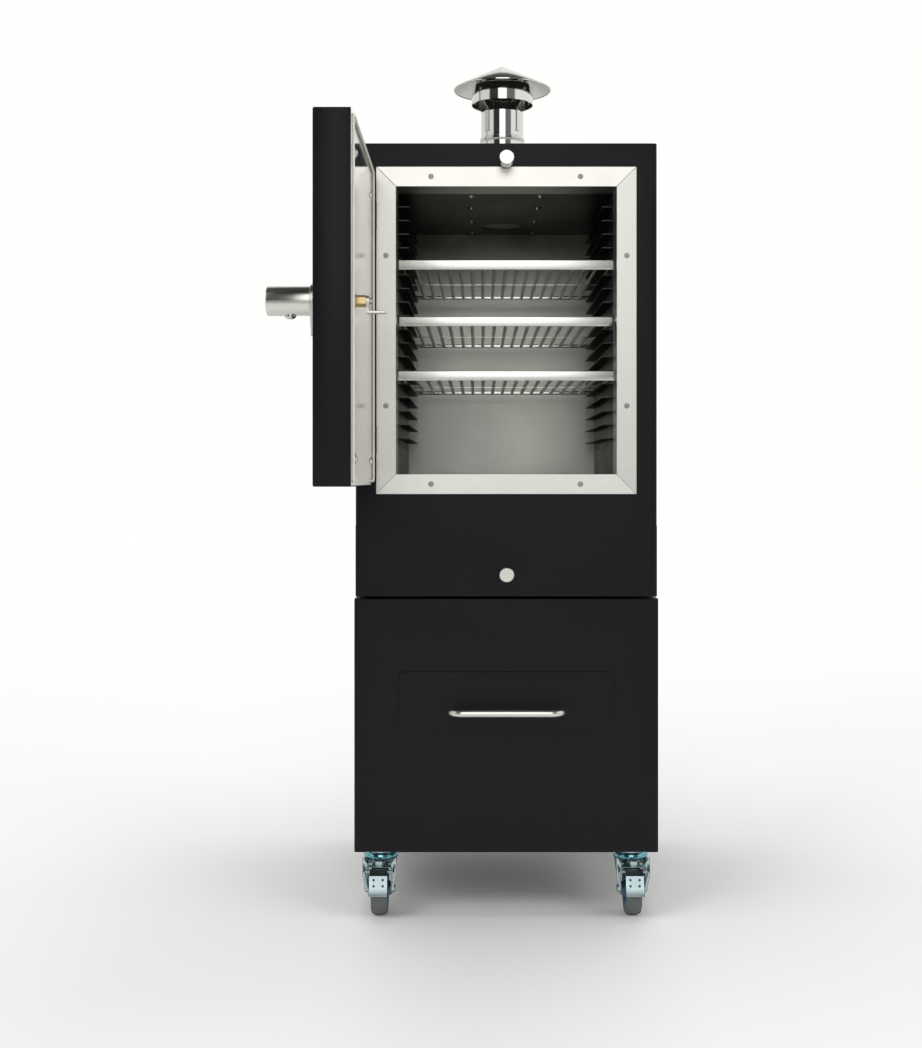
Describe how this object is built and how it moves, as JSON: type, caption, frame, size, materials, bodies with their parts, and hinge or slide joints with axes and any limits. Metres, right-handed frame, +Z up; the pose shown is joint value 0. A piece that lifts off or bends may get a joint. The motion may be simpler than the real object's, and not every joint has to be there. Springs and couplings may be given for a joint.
{
  "type": "cabinet smoker oven",
  "caption": "Tall black cabinet smoker on castors: insulated oven with an open hinged door and sliding racks, flue with rain cap on top, and a base cabinet with a drawer.",
  "frame": {"origin": "floor level, under the middle of the whole object's box with the door open at rest", "axes": "+Z up, front looks along -Y, +X to the right seen from the front"},
  "size_m": [0.8654, 1.4704, 2.225],
  "materials": {
    "black_powder_coat": "satin, finely textured powder coat",
    "brushed_stainless": "brushed along each strip",
    "polished_stainless": "near mirror, faint vertical grain",
    "bright_stainless": "bright, smooth",
    "liner": "dull brushed, heat toned",
    "zinc": "zinc plated with a blue tint",
    "tyre": "grey rubber, matt",
    "gasket": "cream silicone, matt",
    "mineral_wool": "loose mineral fibre",
    "brass": "satin",
    "cast_iron": "rough, dark"
  },
  "bodies": {
    "cabinet": {"air_duct": "zinc", "base_casing": "black_powder_coat", "base_floor": "black_powder_coat", "base_top": "black_powder_coat", "castor_plate_front_left": "zinc", "castor_plate_front_right": "zinc", "castor_plate_rear_left": "zinc", "castor_plate_rear_right": "zinc", "cavity_liner": "liner", "damper_guide": "zinc", "drawer_shelf": "zinc", "ember_well": "cast_iron", "flue_pipe": "polished_stainless", "flue_sleeve": "polished_stainless", "frame_bottom": "brushed_stainless", "frame_left": "brushed_stainless", "frame_right": "brushed_stainless", "frame_top": "brushed_stainless", "hinge_lower_fixed": "black_powder_coat", "hinge_upper_fixed": "black_powder_coat", "oven_casing": "black_powder_coat", "oven_floor": "black_powder_coat", "oven_insulation": "mineral_wool", "oven_roof": "black_powder_coat", "rack_ledges_left": "bright_stainless", "rack_ledges_right": "bright_stainless", "rain_cap": "polished_stainless", "wind_band": "polished_stainless"},
    "charcoal_grate": {"charcoal_grate": "cast_iron"},
    "drawer": {"drawer_tray": "zinc", "drawer_front": "black_powder_coat", "drawer_handle": "brushed_stainless"},
    "rack_upper": {"rack_upper": "bright_stainless"},
    "rack_middle": {"rack_middle": "bright_stainless"},
    "rack_lower": {"rack_lower": "bright_stainless"},
    "damper": {"damper_plate": "zinc", "damper_knob": "bright_stainless"},
    "air_shutter": {"shutter_plate": "zinc", "shutter_knob": "bright_stainless"},
    "door": {"door_pan": "black_powder_coat", "door_panel": "polished_stainless", "door_gasket": "gasket", "door_wool": "mineral_wool", "hinge_lower_moving": "black_powder_coat", "hinge_upper_moving": "black_powder_coat", "handle_backplate": "brushed_stainless"},
    "latch": {"door_handle": "brushed_stainless", "latch_spindle": "zinc", "latch_nut": "brass", "latch_tongue": "brushed_stainless"},
    "castor_swivel_front_left": {"castor_fork_front_left": "zinc"},
    "castor_wheel_front_left": {"castor_wheel_front_left": "tyre"},
    "brake_pedal_front_left": {"brake_pedal_front_left": "zinc"},
    "castor_swivel_front_right": {"castor_fork_front_right": "zinc"},
    "castor_wheel_front_right": {"castor_wheel_front_right": "tyre"},
    "brake_pedal_front_right": {"brake_pedal_front_right": "zinc"},
    "castor_swivel_rear_left": {"castor_fork_rear_left": "zinc"},
    "castor_wheel_rear_left": {"castor_wheel_rear_left": "tyre"},
    "castor_swivel_rear_right": {"castor_fork_rear_right": "zinc"},
    "castor_wheel_rear_right": {"castor_wheel_rear_right": "tyre"}
  },
  "joints": [
    {"name": "door_swing", "type": "hinge", "parent": "cabinet", "child": "door", "pos_m": [-0.25575, -0.11125, 1.427], "axis": [0, 0, 1], "range_deg": [-25, 90]},
    {"name": "latch_turn", "type": "hinge", "parent": "door", "child": "latch", "pos_m": [-0.25625, -0.67625, 1.425], "axis": [1, 0, 0], "range_deg": [-90, 0]},
    {"name": "drawer_slide", "type": "slide", "parent": "cabinet", "child": "drawer", "axis": [0, 1, 0], "range_m": [-0.45, 0]},
    {"name": "rack_upper_slide", "type": "slide", "parent": "cabinet", "child": "rack_upper", "axis": [0, 1, 0], "range_m": [-0.4, 0.045]},
    {"name": "rack_middle_slide", "type": "slide", "parent": "cabinet", "child": "rack_middle", "axis": [0, 1, 0], "range_m": [-0.4, 0.022]},
    {"name": "rack_lower_slide", "type": "slide", "parent": "cabinet", "child": "rack_lower", "axis": [0, 1, 0], "range_m": [-0.4, 0.06]},
    {"name": "charcoal_grate_lift", "type": "slide", "parent": "cabinet", "child": "charcoal_grate", "axis": [0, 0, 1], "range_m": [0, 0.12]},
    {"name": "damper_slide", "type": "slide", "parent": "cabinet", "child": "damper", "axis": [0, 1, 0], "range_m": [-0.11, 0.006]},
    {"name": "air_shutter_slide", "type": "slide", "parent": "cabinet", "child": "air_shutter", "axis": [0, 1, 0], "range_m": [-0.08, 0]},
    {"name": "castor_swivel_front_left", "type": "hinge", "parent": "cabinet", "child": "castor_swivel_front_left", "pos_m": [-0.24275, -0.01975, 0.1465], "axis": [0, 0, 1], "continuous": true},
    {"name": "castor_roll_front_left", "type": "hinge", "parent": "castor_swivel_front_left", "child": "castor_wheel_front_left", "pos_m": [-0.24275, -0.05975, 0.0625], "axis": [1, 0, 0], "continuous": true},
    {"name": "brake_press_front_left", "type": "hinge", "parent": "castor_swivel_front_left", "child": "brake_pedal_front_left", "pos_m": [-0.24275, -0.10675, 0.1145], "axis": [1, 0, 0], "range_deg": [0, 8]},
    {"name": "castor_swivel_front_right", "type": "hinge", "parent": "cabinet", "child": "castor_swivel_front_right", "pos_m": [0.37325, -0.01975, 0.1465], "axis": [0, 0, 1], "continuous": true},
    {"name": "castor_roll_front_right", "type": "hinge", "parent": "castor_swivel_front_right", "child": "castor_wheel_front_right", "pos_m": [0.37325, -0.05975, 0.0625], "axis": [1, 0, 0], "continuous": true},
    {"name": "brake_press_front_right", "type": "hinge", "parent": "castor_swivel_front_right", "child": "brake_pedal_front_right", "pos_m": [0.37325, -0.10675, 0.1145], "axis": [1, 0, 0], "range_deg": [0, 8]},
    {"name": "castor_swivel_rear_left", "type": "hinge", "parent": "cabinet", "child": "castor_swivel_rear_left", "pos_m": [-0.24275, 0.65525, 0.1465], "axis": [0, 0, 1], "continuous": true},
    {"name": "castor_roll_rear_left", "type": "hinge", "parent": "castor_swivel_rear_left", "child": "castor_wheel_rear_left", "pos_m": [-0.24275, 0.61525, 0.0625], "axis": [1, 0, 0], "continuous": true},
    {"name": "castor_swivel_rear_right", "type": "hinge", "parent": "cabinet", "child": "castor_swivel_rear_right", "pos_m": [0.37325, 0.65525, 0.1465], "axis": [0, 0, 1], "continuous": true},
    {"name": "castor_roll_rear_right", "type": "hinge", "parent": "castor_swivel_rear_right", "child": "castor_wheel_rear_right", "pos_m": [0.37325, 0.61525, 0.0625], "axis": [1, 0, 0], "continuous": true}
  ]
}
